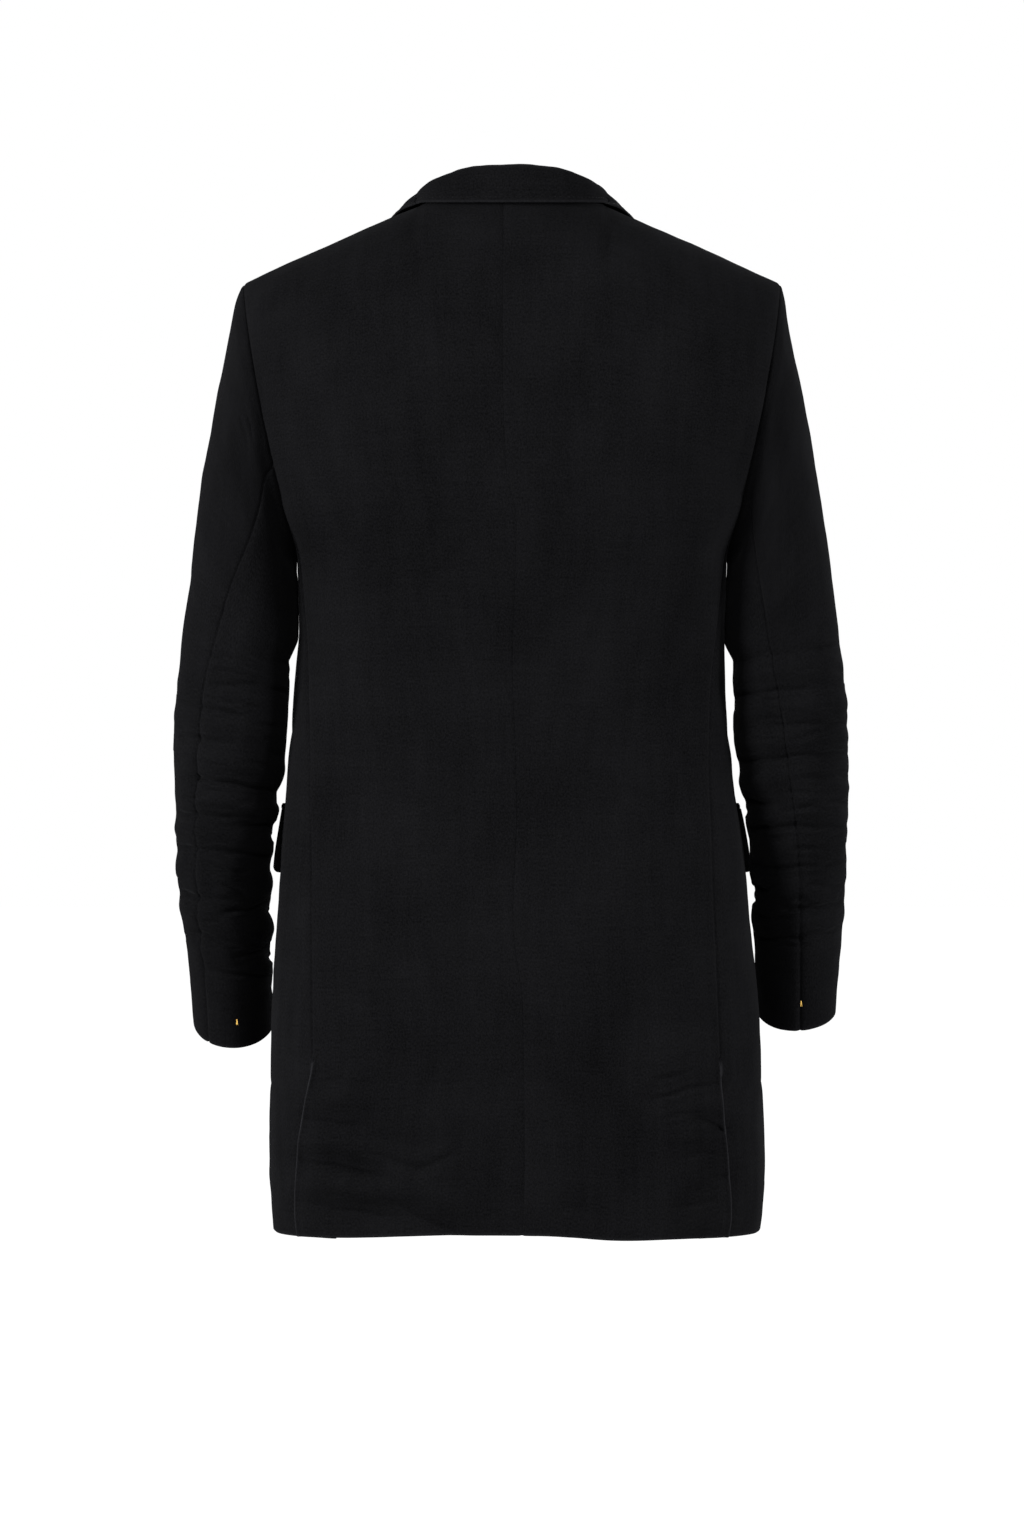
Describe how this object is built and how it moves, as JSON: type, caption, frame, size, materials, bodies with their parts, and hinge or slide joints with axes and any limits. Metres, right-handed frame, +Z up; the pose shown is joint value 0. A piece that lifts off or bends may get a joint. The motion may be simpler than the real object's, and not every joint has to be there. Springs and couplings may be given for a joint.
{
  "type": "longline blazer",
  "caption": "Long black tailored blazer in its hollow worn form, with notch lapels, flap pockets, side vents and two-piece sleeves.",
  "frame": {"origin": "middle of the neck opening, level with the point where the collar meets the shoulder line", "axes": "+Z up the wearer's body; the front faces -Y; +X is the wearer's left"},
  "size_m": [0.5832, 0.2543, 0.9203],
  "materials": {
    "wool_cloth": "soft brushed black wool with a short nap",
    "button_horn": "satin black, four-hole sewing buttons"
  },
  "bodies": {
    "root": {"back_left": "wool_cloth", "side_left": "wool_cloth", "front_left": "wool_cloth", "lapel_left": "wool_cloth", "top_sleeve_left": "wool_cloth", "under_sleeve_left": "wool_cloth", "pocket_flap_left": "wool_cloth", "back_right": "wool_cloth", "side_right": "wool_cloth", "front_right": "wool_cloth", "lapel_right": "wool_cloth", "top_sleeve_right": "wool_cloth", "under_sleeve_right": "wool_cloth", "pocket_flap_right": "wool_cloth", "collar_stand": "wool_cloth", "collar_fall": "wool_cloth", "button_upper": "button_horn", "button_lower": "button_horn"}
  },
  "joints": []
}
